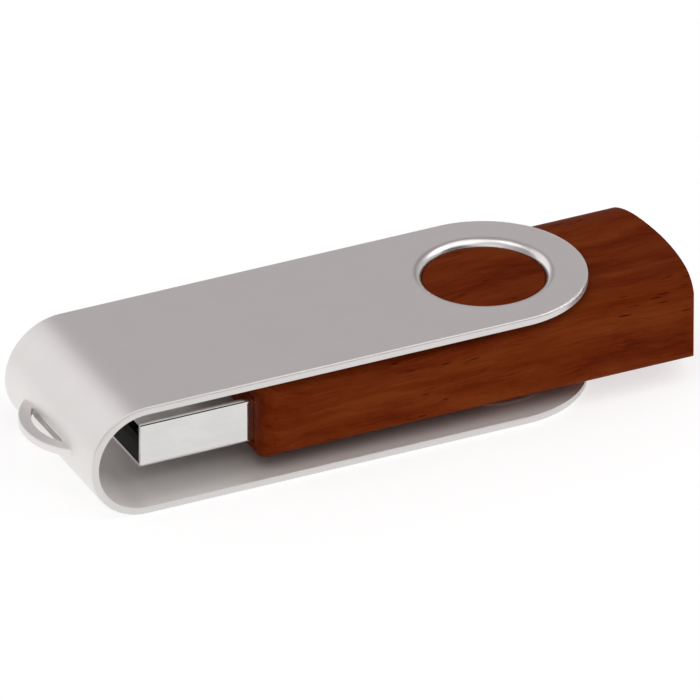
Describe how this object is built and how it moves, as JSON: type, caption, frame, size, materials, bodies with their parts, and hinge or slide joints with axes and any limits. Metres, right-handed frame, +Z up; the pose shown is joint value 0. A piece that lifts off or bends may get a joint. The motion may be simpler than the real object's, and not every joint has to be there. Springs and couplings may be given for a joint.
{
  "type": "usb flash drive",
  "caption": "Swivel USB flash drive: a wooden body with a USB-A plug turns inside a folded aluminium clip with a lanyard loop.",
  "frame": {"origin": "middle of the footprint, on the surface that the lower arm of the clip rests on", "axes": "+X from the bend of the clip, where the plug is parked, to the bare tail of the body; +Z up, along the pivot; +Y completes a right-handed frame"},
  "size_m": [0.0632, 0.0186, 0.0109],
  "materials": {
    "satin_aluminium": "satin, fine even grain, polished rims",
    "wood": "reddish brown, fine grain, satin oil",
    "plated_steel": "nickel plated, bright",
    "black_plastic": "moulded, matt",
    "contact_gold": "gold plated",
    "solder": "bright solder",
    "board_green": "solder resist, satin",
    "package_black": "moulded epoxy, matt",
    "lead_tin": "tinned",
    "crystal_ceramic": "matt ceramic",
    "crystal_steel": "satin",
    "capacitor_tan": "matt",
    "resistor_black": "satin glass coat",
    "foam": "closed-cell foam"
  },
  "bodies": {
    "clip": {"swivel_clip": "satin_aluminium"},
    "drive": {"upper_wood_shell": "wood", "lower_wood_shell": "wood", "plug_shell": "plated_steel", "plug_insulator": "black_plastic", "contact_power": "contact_gold", "contact_data_minus": "contact_gold", "contact_data_plus": "contact_gold", "contact_ground": "contact_gold", "plug_solder_joints": "solder", "circuit_board": "board_green", "memory_package": "package_black", "memory_leads": "lead_tin", "controller_package": "package_black", "controller_leads": "lead_tin", "crystal_base": "crystal_ceramic", "crystal_lid": "crystal_steel", "voltage_regulator": "package_black", "regulator_leads": "lead_tin", "ceramic_capacitors": "capacitor_tan", "capacitor_end_caps": "lead_tin", "chip_resistors": "resistor_black", "resistor_end_caps": "lead_tin", "foam_pad": "foam"}
  },
  "joints": [
    {"name": "swivel", "type": "hinge", "parent": "clip", "child": "drive", "pos_m": [0.01357, 0, 0.00545], "axis": [0, 0, 1], "continuous": true}
  ]
}
